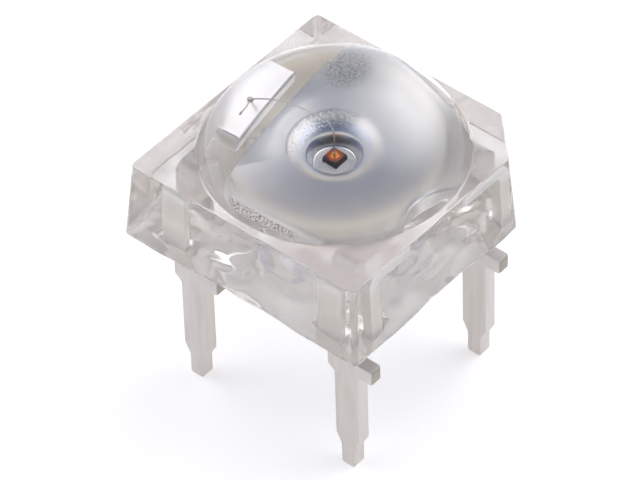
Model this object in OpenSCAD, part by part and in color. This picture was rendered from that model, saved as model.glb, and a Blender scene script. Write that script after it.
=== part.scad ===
// Square clear LED with a dome lens, two stamped lead frames and four flat leads
// Millimetres, +Z up, the four lead tips stand on z = 0, the lens axis is the Z axis

/* [Cast body] */
// Width of the clear body at its underside
body_width = 7.62; // [7.5:0.02:8.2]
// Width of the clear body at its top face
body_top_width = 7.24; // [7.1:0.02:7.4]
// Height of the side walls
wall_height = 2.33; // [2.25:0.01:2.6]
// Leg of the cut polarity corner at the underside
corner_cut = 1.3; // [0.9:0.05:1.5]
// Leg of the cut polarity corner at the top face
corner_cut_top = 1.19; // [0.8:0.01:1.4]
// Radius of the spherical lens
dome_radius = 3.76; // [3.7:0.01:3.9]
// Height of the lens above the top face
dome_height = 2.27; // [2.1:0.01:2.4]
// Radius of the shallow hollow that the resin's surface leaves in the underside
underside_radius = 22; // [18:1:30]
// Radius of the rim of that hollow
underside_rim = 4.2; // [4:0.05:4.4]

/* [Leads] */
// Spacing of the leads along both axes
lead_pitch = 5.08; // [5:0.02:5.16]
// Width of a lead
lead_width = 0.76; // [0.6:0.02:0.8]
// Thickness of the frame sheet
sheet = 0.38; // [0.35:0.01:0.4]
// Length of the leads below the underside
lead_length = 5.15; // [4.5:0.05:6]
// Width of the narrow lead end
tip_width = 0.42; // [0.36:0.02:0.5]
// Length of the narrow lead end
tip_length = 0.65; // [0.5:0.05:0.8]
// Length of the taper above the narrow end
taper_length = 0.34; // [0.2:0.02:0.5]
// Corner cut at the lead end
tip_chamfer = 0.05; // [0.02:0.01:0.1]
// Depth of the cut tie bar below the underside
bar_drop = 1.35; // [1:0.05:1.6]
// Height of the cut tie bar
bar_height = 0.44; // [0.3:0.02:0.5]
// Length of the bar stub on the +X side of a lead
stub_long = 0.47; // [0.3:0.01:0.55]
// Length of the bar stub on the -X side of a lead
stub_short = 0.25; // [0.15:0.01:0.35]
// Slope below the short stub
stub_slope = 0.22; // [0.1:0.02:0.3]
// Inside radius of the lead bend
bend_radius = 0.15; // [0.1:0.01:0.2]

/* [Lead frames] */
// Height of the frames' flat tops above the underside
frame_level = 1.95; // [1.9:0.01:2]
// Half width of the cup plate between its leads
plate_half = 2.34; // [2.26:0.01:2.4]
// Gap between a lead and the wide part of the plate
relief_gap = 0.15; // [0.1:0.01:0.2]
// Cut corners of the plate beside the post
edge_cut = 0.35; // [0.2:0.01:0.5]
// X of the bond pad's inner edge
post_edge = -1.55; // [-1.6:0.01:-1.5]
// Gap between the two frames
frame_gap = 0.27; // [0.2:0.01:0.3]
// Half length of the bond pad
pad_half = 0.9; // [0.8:0.01:1]
// Radius of the resin lock notch in the plate
notch_radius = 1; // [0.8:0.02:1.1]
// Distance of the notch centre beyond the plate's edge
notch_offset = 0.36; // [0.3:0.01:0.45]
// Width of the flat land around the cup's lip
land_width = 0.05; // [0.03:0.01:0.06]

/* [Reflector cup] */
// Radius where the draw lip of the cup starts
lip_start = 0.93; // [0.85:0.01:1]
// Radius of the draw lip
lip_radius = 0.68; // [0.6:0.01:0.72]
// Angle that the lip turns down
lip_turn = 37.5; // [30:0.5:40]
// Slope of the cup wall from upright
cup_slope = 28; // [24:1:32]
// Depth of the cup floor below the plate
cup_depth = 0.39; // [0.36:0.01:0.44]
// Metal left under the cup floor
cup_floor = 0.3; // [0.24:0.01:0.34]
// Radius of the cup's outside at its bottom
cup_foot = 0.7; // [0.66:0.01:0.76]

/* [Chip and wire] */
// Side of the square chip
chip_side = 0.32; // [0.26:0.01:0.36]
// Height of the chip
chip_height = 0.18; // [0.15:0.01:0.24]
// Radius of the adhesive spot under the chip
attach_radius = 0.3; // [0.26:0.01:0.32]
// Thickness of the adhesive
attach_height = 0.03; // [0.02:0.005:0.04]
// Diameter of the bond wire
wire_diameter = 0.03; // [0.025:0.005:0.05]
// Radius of the bond ball on the chip
ball_radius = 0.06; // [0.05:0.005:0.07]
// Height of the ball's centre above the chip
ball_lift = 0.03; // [0.02:0.005:0.04]
// Height of the loop's upright part above the chip
loop_rise = 0.58; // [0.4:0.02:0.8]
// Radius of the loop's bend
loop_radius = 0.3; // [0.2:0.02:0.4]
// Distance of the stitch from the lens axis
stitch_reach = 1.89; // [1.8:0.01:1.95]
// Angle of the wire towards -Y
wire_turn = 0.4; // [0:0.1:6]
// Radius of the pressed stitch
stitch_radius = 0.06; // [0.04:0.005:0.07]
// Length of the wire tail beyond the stitch
tail_length = 0.38; // [0.2:0.02:0.5]

/* [Hidden] */
$fn = 96;
under = lead_length;
top_face = under + wall_height;
dome_z = top_face + dome_height - dome_radius;
half = lead_pitch / 2;
deck = under + frame_level;
bend_outer = sheet + bend_radius;
bend_y = half - sheet / 2 - bend_radius;
bend_z = deck - bend_outer;
root_length = 0.3;
outer_x = half + lead_width / 2;
inner_x = half - lead_width / 2;
relief_x = inner_x - relief_gap;
cup_edge = post_edge + frame_gap;
floor_z = deck - cup_depth;
wall_r = lip_start - lip_radius * sin(lip_turn);
wall_z = deck - lip_radius * (1 - cos(lip_turn));
floor_r = wall_r - (wall_z - floor_z) * tan(cup_slope);
attach_top = floor_z + attach_height;
chip_top = attach_top + chip_height;
bar_top = under - bar_drop;
bar_low = bar_top - bar_height;
wire_radius = wire_diameter / 2;
rise_z = chip_top + loop_rise;
stitch_z = deck + wire_radius;
loop_top = rise_z + loop_radius;
loop_drop = loop_top - stitch_z;
loop_reach = stitch_reach - loop_radius;
arc_radius = (loop_reach * loop_reach + loop_drop * loop_drop) / (2 * loop_drop);
arc_angle = asin(loop_reach / arc_radius);
tail_z = deck + 0.6 * wire_radius;
far = 12;

// Clear cast body
module drafted_slab() {
  rotate([90, 0, 0])
    linear_extrude(height = far, center = true)
      polygon([[-body_width / 2, under], [body_width / 2, under],
               [body_top_width / 2, top_face], [-body_top_width / 2, top_face]]);
}

module corner_slab() {
  low = (body_width - corner_cut) / sqrt(2);
  high = (body_top_width - corner_cut_top) / sqrt(2);
  rotate([0, 0, 45])
    rotate([90, 0, 0])
      linear_extrude(height = far, center = true)
        polygon([[-far / 2, under], [low, under], [high, top_face], [-far / 2, top_face]]);
}

module lens() {
  intersection() {
    translate([0, 0, dome_z])
      sphere(r = dome_radius);
    translate([0, 0, top_face])
      cylinder(r = far / 2, h = dome_height + 1);
  }
}

module underside_hollow() {
  drop = sqrt(underside_radius * underside_radius - underside_rim * underside_rim);
  translate([0, 0, under - drop])
    sphere(r = underside_radius, $fn = 240);
}

module body_outside() {
  difference() {
    union() {
      intersection() {
        drafted_slab();
        rotate([0, 0, 90])
          drafted_slab();
        corner_slab();
      }
      lens();
    }
    underside_hollow();
  }
}

module epoxy_body() {
  color([0.9, 0.9, 0.87, 0.35])
    difference() {
      body_outside();
      cup_frame();
      post_frame();
      led_chip();
      die_attach();
      bond_wire();
    }
}

// Flat sheet pieces in side view
module sector(outer, from, to) {
  middle = (from + to) / 2;
  intersection() {
    circle(r = outer);
    polygon([[0, 0], 3 * outer * [cos(from), sin(from)],
             3 * outer * [cos(middle), sin(middle)], 3 * outer * [cos(to), sin(to)]]);
  }
}

module ring_sector(inner, outer, from, to) {
  difference() {
    sector(outer, from, to);
    circle(r = inner);
  }
}

module lead_side() {
  translate([bend_y, bend_z])
    ring_sector(bend_radius, bend_outer, 0, 90);
  translate([bend_y + bend_radius, 0])
    square([sheet, bend_z]);
  translate([bend_y - root_length, deck - sheet])
    square([root_length, sheet]);
}

// Lead outline in front view
module lead_front() {
  w = lead_width / 2;
  t = tip_width / 2;
  c = tip_chamfer;
  polygon([[-t, c], [-t + c, 0], [t - c, 0], [t, c], [t, tip_length],
           [w, tip_length + taper_length], [w, bar_low], [w + stub_long, bar_low],
           [w + stub_long, bar_top], [w, bar_top], [w, deck + 1], [-w, deck + 1],
           [-w, bar_top], [-w - stub_short, bar_top], [-w - stub_short, bar_low],
           [-w, bar_low - stub_slope], [-w, tip_length + taper_length], [-t, tip_length]]);
}

// One bent lead, its bend towards +Y, centred on X
module lead() {
  intersection() {
    rotate([90, 0, 90])
      linear_extrude(height = 4, center = true)
        lead_side();
    rotate([90, 0, 0])
      linear_extrude(height = far, center = true)
        lead_front();
  }
}

module lead_pair(x) {
  translate([x, 0, 0])
    lead();
  translate([x, 0, 0])
    intersection() {
      mirror([0, 1, 0])
        rotate([90, 0, 90])
          linear_extrude(height = 4, center = true)
            lead_side();
      rotate([90, 0, 0])
        linear_extrude(height = far, center = true)
          lead_front();
    }
}

// Frame with the reflector cup
module cup_profile() {
  polygon([[0, floor_z - cup_floor], [cup_foot, floor_z - cup_floor],
           [lip_start, deck - sheet], [lip_start + land_width, deck - sheet],
           [lip_start + land_width, deck], [lip_start, deck], [lip_start, wall_z],
           [wall_r, wall_z], [floor_r, floor_z], [0, floor_z]]);
  intersection() {
    translate([lip_start, deck - lip_radius])
      circle(r = lip_radius);
    translate([wall_r, wall_z])
      square([lip_start - wall_r, deck - wall_z]);
  }
}

module plate_outline() {
  polygon([[cup_edge, edge_cut - plate_half], [cup_edge + edge_cut, -plate_half],
           [relief_x, -plate_half], [relief_x, -bend_y], [outer_x, -bend_y],
           [outer_x, bend_y], [relief_x, bend_y], [relief_x, plate_half],
           [cup_edge + edge_cut, plate_half], [cup_edge, plate_half - edge_cut]]);
}

module cup_plate() {
  translate([0, 0, deck - sheet])
    linear_extrude(height = sheet)
      difference() {
        plate_outline();
        circle(r = lip_start);
        translate([outer_x + notch_offset, 0])
          circle(r = notch_radius);
      }
}

module cup_frame() {
  color([0.78, 0.79, 0.82]) {
    rotate_extrude()
      cup_profile();
    cup_plate();
    lead_pair(half);
  }
}

// Frame with the bond pad
module post_frame() {
  color([0.8, 0.81, 0.83]) {
    translate([0, 0, deck - sheet])
      linear_extrude(height = sheet)
        polygon([[-outer_x, -bend_y], [-inner_x, -bend_y], [-inner_x, -pad_half],
                 [post_edge, -pad_half], [post_edge, pad_half], [-inner_x, pad_half],
                 [-inner_x, bend_y], [-outer_x, bend_y]]);
    lead_pair(-half);
  }
}

// Light-giving chip and its adhesive
module led_chip() {
  color([0.85, 0.25, 0.08])
    translate([-chip_side / 2, -chip_side / 2, attach_top])
      cube([chip_side, chip_side, chip_height]);
}

module die_attach() {
  color([0.7, 0.7, 0.7])
    translate([0, 0, floor_z])
      cylinder(r = attach_radius, h = attach_height);
}

// Bond wire with its ball, loop, stitch and tail
module wire_arc(radius, from, angle) {
  rotate([90, 0, 0])
    rotate([0, 0, from])
      rotate_extrude(angle = angle)
        translate([radius, 0])
          circle(r = wire_radius, $fn = 24);
}

module wire_loop() {
  translate([0, 0, chip_top + ball_lift])
    cylinder(r = wire_radius, h = loop_rise - ball_lift, $fn = 24);
  translate([-loop_radius, 0, rise_z])
    wire_arc(loop_radius, 0, 90);
  translate([-loop_radius, 0, loop_top - arc_radius])
    wire_arc(arc_radius, 90, arc_angle);
}

module wire_ends() {
  translate([0, 0, chip_top + ball_lift])
    sphere(r = ball_radius, $fn = 32);
  translate([-stitch_reach, 0, deck])
    cylinder(r = stitch_radius, h = wire_diameter, $fn = 32);
  translate([-stitch_reach, 0, tail_z])
    rotate([90, 0, 0])
      cylinder(r = wire_radius, h = tail_length, $fn = 24);
}

module bond_wire() {
  color([0.9, 0.72, 0.3])
    rotate([0, 0, wire_turn])
      difference() {
        union() {
          wire_loop();
          wire_ends();
        }
        translate([-1, -1, chip_top - 1])
          cube([2, 2, 1]);
        translate([-stitch_reach - 0.5, -1, deck - 1])
          cube([0.7, 2, 1]);
      }
}

epoxy_body();
cup_frame();
post_frame();
led_chip();
die_attach();
bond_wire();
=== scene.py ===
"""Clear square four-lead LED: its looks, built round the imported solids."""

import math

import bmesh
import bpy
from bpy.props import FloatProperty, FloatVectorProperty, PointerProperty
from mathutils import Matrix, Vector, noise


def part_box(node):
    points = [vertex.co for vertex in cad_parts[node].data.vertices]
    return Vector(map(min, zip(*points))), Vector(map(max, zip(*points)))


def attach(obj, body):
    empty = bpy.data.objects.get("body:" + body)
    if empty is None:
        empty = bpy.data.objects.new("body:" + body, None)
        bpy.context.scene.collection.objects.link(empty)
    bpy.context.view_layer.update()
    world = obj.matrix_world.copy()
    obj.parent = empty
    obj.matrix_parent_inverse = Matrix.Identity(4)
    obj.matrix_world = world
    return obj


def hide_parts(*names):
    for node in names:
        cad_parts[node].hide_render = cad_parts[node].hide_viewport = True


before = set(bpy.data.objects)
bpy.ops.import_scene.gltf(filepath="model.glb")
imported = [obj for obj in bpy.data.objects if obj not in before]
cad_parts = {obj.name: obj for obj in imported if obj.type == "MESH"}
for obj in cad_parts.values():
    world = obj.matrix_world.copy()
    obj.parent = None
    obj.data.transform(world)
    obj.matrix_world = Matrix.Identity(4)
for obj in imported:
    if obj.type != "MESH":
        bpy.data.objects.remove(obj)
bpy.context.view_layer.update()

bl_info = {
    "name": "Clear Square LED",
    "version": (1, 0, 0),
    "blender": (4, 5, 0),
    "location": "View3D > Sidebar > Clear LED",
    "description": "Builds the cast body, lead frames, chip and bond wire of a clear square LED",
    "category": "Object",
}

MM = 0.001
BODY_LOW, BODY_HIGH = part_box("epoxy_body")
CHIP_LOW, CHIP_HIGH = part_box("led_chip")
GLUE_LOW, GLUE_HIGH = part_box("die_attach")

# Counts of points along the body's outline, edges, walls and lens
SIDE_STEPS = 90
CORNER_STEPS = 8
EDGE_STEPS = 6
WALL_STEPS = 12
LENS_STEPS = 46
SPOKE_REACH = 14

# Angle from which a stamped edge is rounded, and distance at which points are joined
SHARP = math.radians(33)
WELD = 2e-7


def length(name, description, size):
    """A size, given in millimetres and kept in metres."""
    return FloatProperty(name=name, description=description, default=size * MM, unit="LENGTH", precision=6)


def turn(name, description, degrees):
    """An angle, kept in radians."""
    return FloatProperty(name=name, description=description, default=math.radians(degrees), subtype="ANGLE")


def share(name, description, default):
    """A plain number."""
    return FloatProperty(name=name, description=description, default=default, precision=4)


def tint(name, description, default):
    """A colour in linear light."""
    return FloatVectorProperty(
        name=name, description=description, default=default, subtype="COLOR", size=3, min=0.0, max=1.0
    )


class ResinSettings(bpy.types.PropertyGroup):
    """Sizes and finish of the cast body."""

    width: length("Width", "Width of the body at its underside", (BODY_HIGH.x - BODY_LOW.x) / MM)
    top_width: length("Top width", "Width of the body at its top face", 7.24)
    wall: length("Wall height", "Height of the side walls", 2.33)
    cut: length("Corner cut", "Leg of the cut corner at the underside", 1.3)
    top_cut: length("Top corner cut", "Leg of the cut corner at the top face", 1.19)
    dome: length("Dome radius", "Radius of the round lens", 3.76)
    hollow: length("Hollow radius", "Radius of the sunk resin surface below", 22)
    hollow_rim: length("Hollow rim", "Radius where that surface meets the plane", 4.2)
    corner: length("Corner radius", "Rounding of the upright corners", 0.16)
    edge: length("Edge radius", "Rounding of the top and bottom edges", 0.05)
    foot: length("Dome foot radius", "Rounding where the dome meets the top face", 0.06)
    climb: length("Resin climb", "How far the resin climbs down the leads", 0.2)
    climb_reach: length("Climb reach", "How far from a lead the climb fades", 0.14)
    lump: length("Lump size", "Spacing of the lumps that shrinking leaves in the free surface", 1.15)
    lump_rise: length("Lump rise", "Height of those lumps", 0.065)
    wave_depth: length("Wave depth", "Depth of the waves in the walls", 0.024)
    wall_marks: share("Wall marks", "Share of the walls that mould marks veil at least", 0.06)
    # The top face's veil is darker in colour: painted shade.
    top_painted_shade: share("Top marks", "Share of the top face that mould marks veil", 0.36)
    ior: share("Refraction", "Index of refraction of the resin", 1.53)
    clear: tint("Clear tint", "Colour of the clear resin", (0.985, 0.974, 0.95))
    veil: tint("Veil", "Colour of the fine mould marks that veil the walls", (0.93, 0.865, 0.805))
    depth: tint("Depth tint", "Colour that deep resin takes", (0.80, 0.77, 0.715))
    density: share("Depth density", "Absorption per metre", 105.0)


class FrameSettings(bpy.types.PropertyGroup):
    """Sizes and finish of the two lead frames."""

    sheet: length("Sheet", "Thickness of the frame sheet", 0.38)
    deck: length("Deck", "Height of the frames' flat tops", 7.1)
    half: length("Plate half width", "Half width of the cup plate between its leads", 2.34)
    relief: length("Relief gap", "Gap between a lead and the wide part of the plate", 0.15)
    roll: length("Edge roll", "Width of the rounding that the punch leaves round the plate", 0.2)
    roll_drop: length("Edge drop", "Depth of that rounding", 0.06)
    edge_cut: length("Edge cut", "Cut corners of the plate beside the post", 0.35)
    edge_x: length("Chord", "Place of the cut edge beside the post", -1.28)
    outer_x: length("Outer edge", "Outer edge of the frames", 2.92)
    bend_y: length("Bend start", "Where the lead bend starts", 2.2)
    bend: length("Bend radius", "Inside radius of the lead bend", 0.15)
    notch: length("Notch radius", "Radius of the locking notch", 1.0)
    notch_x: length("Notch centre", "Centre of the locking notch", 3.28)
    lip: length("Lip start", "Radius where the plate rolls into the cup", 0.93)
    lip_roll: length("Lip roll", "Radius of the rolled lip", 0.68)
    lip_turn: turn("Lip turn", "Angle that the lip turns down", 37.5)
    cup_slope: turn("Cup slope", "Slope of the cup wall from upright", 28.0)
    cup_floor: length("Cup floor", "Height of the cup floor", GLUE_LOW.z / MM)
    cup_foot: length("Cup foot", "Radius of the cup's underside", 0.7)
    cup_base: length("Cup base", "Thickness of the cup floor", 0.3)
    pad_roll: length("Pad roll", "Rounding round the bond pad", 0.08)
    pad_in: length("Pad inner edge", "Edge of the bond pad towards the cup", -1.55)
    pad_half: length("Pad half length", "Half the length of the bond pad", 0.9)
    lead: length("Lead width", "Width of a lead", 0.76)
    pitch: length("Lead pitch", "Spacing of the leads", 5.08)
    tip: length("Tip width", "Width of the narrow lead end", 0.42)
    tip_end: length("Tip length", "Length of the narrow lead end", 0.65)
    taper: length("Taper", "Length of the taper above the tip", 0.34)
    tip_cut: length("Tip cut", "Corner cut of the lead end", 0.05)
    bar_top: length("Bar top", "Upper edge of the cut tie bar", 3.8)
    bar_low: length("Bar bottom", "Lower edge of the cut tie bar", 3.36)
    stub_long: length("Long stub", "Bar stub on the plus X side", 0.47)
    stub_short: length("Short stub", "Bar stub on the minus X side", 0.25)
    stub_slope: length("Stub slope", "Slope below the short stub", 0.22)
    round: length("Edge rounding", "Rounding that stamping leaves on the edges", 0.025)
    stub_round: length("Stub rounding", "Rounding of the torn bar ends", 0.07)
    grain_depth: length("Grain depth", "Depth of the grain in the plating", 0.0025)
    silver: tint("Silver", "Colour of the plating inside the resin", (0.83, 0.83, 0.84))
    # The cup's mouth is painted this bluish colour: a painted reflection.
    painted_blue_reflection: tint("Blue silver", "Colour of the drawn plating at the cup's mouth", (0.72, 0.77, 0.88))
    film: tint("Film", "Colour of the pale film on the cup floor and below the frames", (0.96, 0.955, 0.95))
    dull_silver: tint("Dull silver", "Colour of the leads inside the resin", (0.84, 0.80, 0.745))
    tin: tint("Tin", "Colour of the leads outside", (0.69, 0.655, 0.62))
    cut_metal: tint("Cut metal", "Colour of the sheared bar ends", (0.40, 0.375, 0.32))


class DieSettings(bpy.types.PropertyGroup):
    """Sizes and finish of the chip, its adhesive and the bond wire."""

    pad: length("Electrode", "Radius of the gold contact on the chip", 0.075)
    mesa: length("Mesa", "How far the chip's top steps in", 0.016)
    wire: length("Wire", "Diameter of the bond wire", 0.026)
    ball: length("Ball", "Radius of the ball bond", 0.06)
    rise: length("Rise", "Height of the upright wire above the chip", 0.58)
    loop: length("Loop radius", "Radius of the first bend of the loop", 0.3)
    reach: length("Reach", "Distance from the chip to the stitch", 1.89)
    swing: turn("Swing", "Turn of the wire about the lens axis", 0.4)
    tail: length("Tail", "Length of the wire's tail beyond the stitch", 0.38)
    saw_depth: length("Saw depth", "Depth of the saw marks on the chip's sides", 0.0012)
    flake_depth: length("Flake depth", "Depth of the flakes in the adhesive", 0.0015)
    draw_depth: length("Draw depth", "Depth of the drawing marks on the wire", 0.0006)
    crystal: tint("Crystal", "Colour of the chip", (0.72, 0.075, 0.01))
    sawn: tint("Sawn side", "Colour of the chip's sawn sides", (0.075, 0.045, 0.03))
    contact: tint("Contact", "Colour of the chip's contact", (0.95, 0.45, 0.10))
    gold: tint("Gold", "Colour of the wire", (0.62, 0.60, 0.57))
    painted_ball_light: tint("Ball gold", "Colour of the ball, lit by the chip below it", (0.95, 0.50, 0.13))
    paste: tint("Paste", "Colour of the filled adhesive", (0.97, 0.96, 0.95))


class StageSettings(bpy.types.PropertyGroup):
    """Camera, lights and floor."""

    azimuth: turn("Azimuth", "Camera's turn about the lens axis", 41.336)
    elevation: turn("Elevation", "Camera's height above the horizon", 44.282)
    roll: turn("Roll", "Camera's roll", -1.876)
    distance: length("Distance", "Camera's distance", 134.378)
    right: length("Right", "Camera's step to the right", -0.435)
    up: length("Up", "Camera's step upwards", -0.579)
    lens: share("Lens", "Focal length in millimetres on a 36 mm sensor", 299.925)
    floor: tint("Floor", "Colour of the floor", (0.955, 0.94, 0.92))
    # The floor's glow below the part takes this darker colour: a painted shadow.
    painted_floor_shadow: tint("Floor shade", "Light of the floor below the part", (0.78, 0.77, 0.755))
    fibre_depth: length("Fibre depth", "Depth of the floor's paper fibres", 0.004)
    floor_glow: share("Floor glow", "Light of the lit floor", 0.45)
    strength: share("Strength", "Strength of the room's light", 2.2)
    wall_light: tint("Wall light", "Light of the room's pale walls", (0.51, 0.475, 0.42))
    room: tint("Room", "Light of the room above", (0.058, 0.080, 0.145))
    right_light: tint("Right light", "Colour of the right soft light", (0.94, 0.94, 1.0))
    right_turn: turn("Right turn", "Where the right soft light stands", 154.0)
    right_rise: turn("Right rise", "Height of the right soft light", 50.0)
    left_light: tint("Left light", "Colour of the left soft light", (0.98, 0.98, 1.0))
    left_turn: turn("Left turn", "Where the left soft light stands", 286.0)
    left_rise: turn("Left rise", "Height of the left soft light", 52.0)
    glow_core: turn("Glow core", "Angle of a soft light's even middle", 12.0)
    right_edge: turn("Right edge", "Angle at which the right light has faded", 40.0)
    left_edge: turn("Left edge", "Angle at which the left light has faded", 30.0)


class LedSettings(bpy.types.PropertyGroup):
    """All settings of the part."""

    resin: PointerProperty(type=ResinSettings)
    frames: PointerProperty(type=FrameSettings)
    die: PointerProperty(type=DieSettings)
    stage: PointerProperty(type=StageSettings)


class Term:
    """One socket in a sum: Python's operators on it add Math nodes."""

    def __init__(self, recipe, socket):
        self.recipe = recipe
        self.socket = socket

    def maths(self, operation, first, second=0.0):
        return self.recipe.node("ShaderNodeMath", {"operation": operation}, {0: first, 1: second})

    def __add__(self, other):
        return self.maths("ADD", self, other)

    __radd__ = __add__

    def __sub__(self, other):
        return self.maths("SUBTRACT", self, other)

    def __rsub__(self, other):
        return self.maths("SUBTRACT", other, self)

    def __mul__(self, other):
        return self.maths("MULTIPLY", self, other)

    __rmul__ = __mul__

    def __pow__(self, other):
        return self.maths("POWER", self, other)

    def __abs__(self):
        return self.maths("ABSOLUTE", self)

    def sign(self):
        return self.maths("SIGN", self)

    def most(self, other):
        return self.maths("MAXIMUM", self, other)

    def between(self, low, high):
        """0 below low, 1 above high and a smooth rise from one to the other."""
        settings = {"interpolation_type": "SMOOTHSTEP"}
        return self.recipe.node("ShaderNodeMapRange", settings, {0: self, 1: low, 2: high})

    def inside(self, low, high, soft):
        """1 from low to high, fading out over soft on both sides."""
        return self.between(low - soft, low) * (1 - self.between(high, high + soft))


class Recipe:
    """The nodes of a new material or world, with a material's places in millimetres."""

    def __init__(self, owner, coordinates="Object", scale=1 / MM):
        self.owner = owner
        self.owner.use_nodes = True
        self.tree = owner.node_tree
        self.tree.nodes.clear()
        spot = self.node("ShaderNodeTexCoord", output=coordinates)
        self.spot = self.node("ShaderNodeVectorMath", {"operation": "SCALE"}, {0: spot, "Scale": scale})
        parts = self.node("ShaderNodeSeparateXYZ", None, {0: self.spot})
        self.x, self.y, self.z = [Term(self, socket) for socket in parts.socket.node.outputs]
        self.radius = (self.x * self.x + self.y * self.y) ** 0.5

    def node(self, kind, settings=None, sockets=None, output=0):
        made = self.tree.nodes.new(kind)
        for key, value in (settings or {}).items():
            setattr(made, key, value)
        for key, value in (sockets or {}).items():
            if isinstance(value, Term):
                self.tree.links.new(value.socket, made.inputs[key])
            else:
                made.inputs[key].default_value = value
        return None if output is None else Term(self, made.outputs[output])

    def along(self, way):
        """How far a place lies in a direction, flat or in space."""
        terms = [place * part for place, part in zip((self.x, self.y, self.z), way)]
        return sum(terms[1:], terms[0])

    def noise(self, scale, detail=2.0, stretch=None, offset=(0.0, 0.0, 0.0)):
        """Noise from 0 to 1 with scale bumps to the millimetre, stretched along the axes if asked."""
        spot = self.spot
        if stretch or any(offset):
            sockets = {0: spot, "Scale": stretch or (1.0, 1.0, 1.0), "Location": offset}
            spot = self.node("ShaderNodeMapping", {"vector_type": "POINT"}, sockets)
        return self.node("ShaderNodeTexNoise", None, {"Vector": spot, "Scale": scale, "Detail": detail})

    def cells(self, scale):
        """Distance to the nearest of scattered points, scale of them to the millimetre."""
        return self.node("ShaderNodeTexVoronoi", None, {"Vector": self.spot, "Scale": scale})

    def mix(self, factor, first, second):
        """A colour between two."""
        sockets = {0: factor, 6: solid(first), 7: solid(second)}
        return self.node("ShaderNodeMix", {"data_type": "RGBA"}, sockets, output=2)

    def bump(self, height, depth):
        """Normals of a relief whose height of 1 is depth metres."""
        sockets = {"Strength": 1.0, "Distance": depth, "Height": height}
        return self.node("ShaderNodeBump", None, sockets)

    def surface(self, sockets, volume=None, veil=None):
        """Ends the material, with absorbing depth and a veil of a second finish if asked."""
        shader = self.node("ShaderNodeBsdfPrincipled", None, sockets)
        if veil:
            cover = self.node("ShaderNodeBsdfPrincipled", None, veil[1])
            shader = self.node("ShaderNodeMixShader", None, {0: veil[0], 1: shader, 2: cover})
        ends = {"Surface": shader}
        if volume:
            ends["Volume"] = self.node("ShaderNodeVolumeAbsorption", None, volume)
        self.node("ShaderNodeOutputMaterial", None, ends, output=None)
        return self.owner


def solid(colour):
    """A colour with its alpha, or a term as it is."""
    return colour if isinstance(colour, Term) else (*colour[:3], 1.0)


def shade(colour, *parts):
    """A colour with its channels scaled, all by one part or each by its own."""
    parts = parts * 3 if len(parts) == 1 else parts
    return [c * part for c, part in zip(colour, parts)]


def new_piece(name, points, faces, material, normals=None):
    """A smooth mesh object in the scene."""
    mesh = bpy.data.meshes.new(name)
    mesh.from_pydata([tuple(p) for p in points], [], faces)
    mesh.validate()
    mesh.shade_smooth()
    if normals:
        mesh.normals_split_custom_set_from_vertices([tuple(n) for n in normals])
    mesh.materials.append(material)
    piece = bpy.data.objects.new(name, mesh)
    bpy.context.scene.collection.objects.link(piece)
    return piece


def keep_flat(piece):
    """Shades broad faces flat and leaves the rounding to the narrow ones."""
    piece.modifiers.new("flat_faces", "WEIGHTED_NORMAL").weight = 60


def seat(piece, node):
    """Puts a piece on the body in place of a solid."""
    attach(piece, "root")
    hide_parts(node)


def loft(rings, close_last=True):
    """Points and faces of closed rings, with a point at the start and, if asked, at the end."""
    count = len(rings[0])
    points = [p for ring in rings for p in ring]
    faces = []
    for i in range(len(rings) - 1):
        for k in range(count):
            n = (k + 1) % count
            faces.append((i * count + k, i * count + n, (i + 1) * count + n, (i + 1) * count + k))
    points.append(sum(rings[0], Vector()) / count)
    faces += [((k + 1) % count, k, len(points) - 1) for k in range(count)]
    if close_last:
        base = (len(rings) - 1) * count
        points.append(sum(rings[-1], Vector()) / count)
        faces += [(base + k, base + (k + 1) % count, len(points) - 1) for k in range(count)]
    return points, faces


def arc(radius, first, last, steps):
    """Points of an arc about the origin, angles in radians."""
    angles = [first + (last - first) * k / steps for k in range(steps + 1)]
    return [Vector((radius * math.cos(a), radius * math.sin(a))) for a in angles]


# Cast body
def body_outline(half, cut, radius, side_steps, arc_steps):
    """Points and outward directions round the body, counter-clockwise, cut corner at plus X plus Y."""
    corners = [(half, -half), (half, half - cut), (half - cut, half), (-half, half), (-half, -half)]
    corners = [Vector(c) for c in corners]
    arcs = []
    for i, here in enumerate(corners):
        come = (here - corners[i - 1]).normalized()
        go = (corners[(i + 1) % 5] - here).normalized()
        angle = come.angle(go)
        out = Vector((come.y, -come.x))
        middle = here - come * (radius * math.tan(angle / 2)) - out * radius
        start = math.atan2(out.y, out.x)
        ways = arc(1.0, start, start + angle, arc_steps)
        arcs.append([(middle + way * radius, way) for way in ways])
    points = []
    ways = []
    for i, bow in enumerate(arcs):
        points += [p for p, way in bow]
        ways += [way for p, way in bow]
        far = arcs[(i + 1) % 5][0][0]
        steps = side_steps // 5 if i == 1 else side_steps
        for k in range(1, steps):
            points.append(bow[-1][0].lerp(far, k / steps))
            ways.append(bow[-1][1])
    return points, ways


def spread_spokes(outline, reach):
    """Directions to the points of an outline, evened out over reach neighbours to either side."""
    angles = [math.atan2(p.y, p.x) for p in outline]
    for k in range(1, len(angles)):
        while angles[k] < angles[k - 1] - 1e-9:
            angles[k] += 2 * math.pi
    count = len(angles)
    full = [a - 2 * math.pi for a in angles] + angles + [a + 2 * math.pi for a in angles]
    spokes = []
    for k in range(count, 2 * count):
        mean = sum(full[k - reach : k + reach + 1]) / (2 * reach + 1)
        spokes.append(Vector((math.cos(mean), math.sin(mean))))
    return spokes


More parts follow.
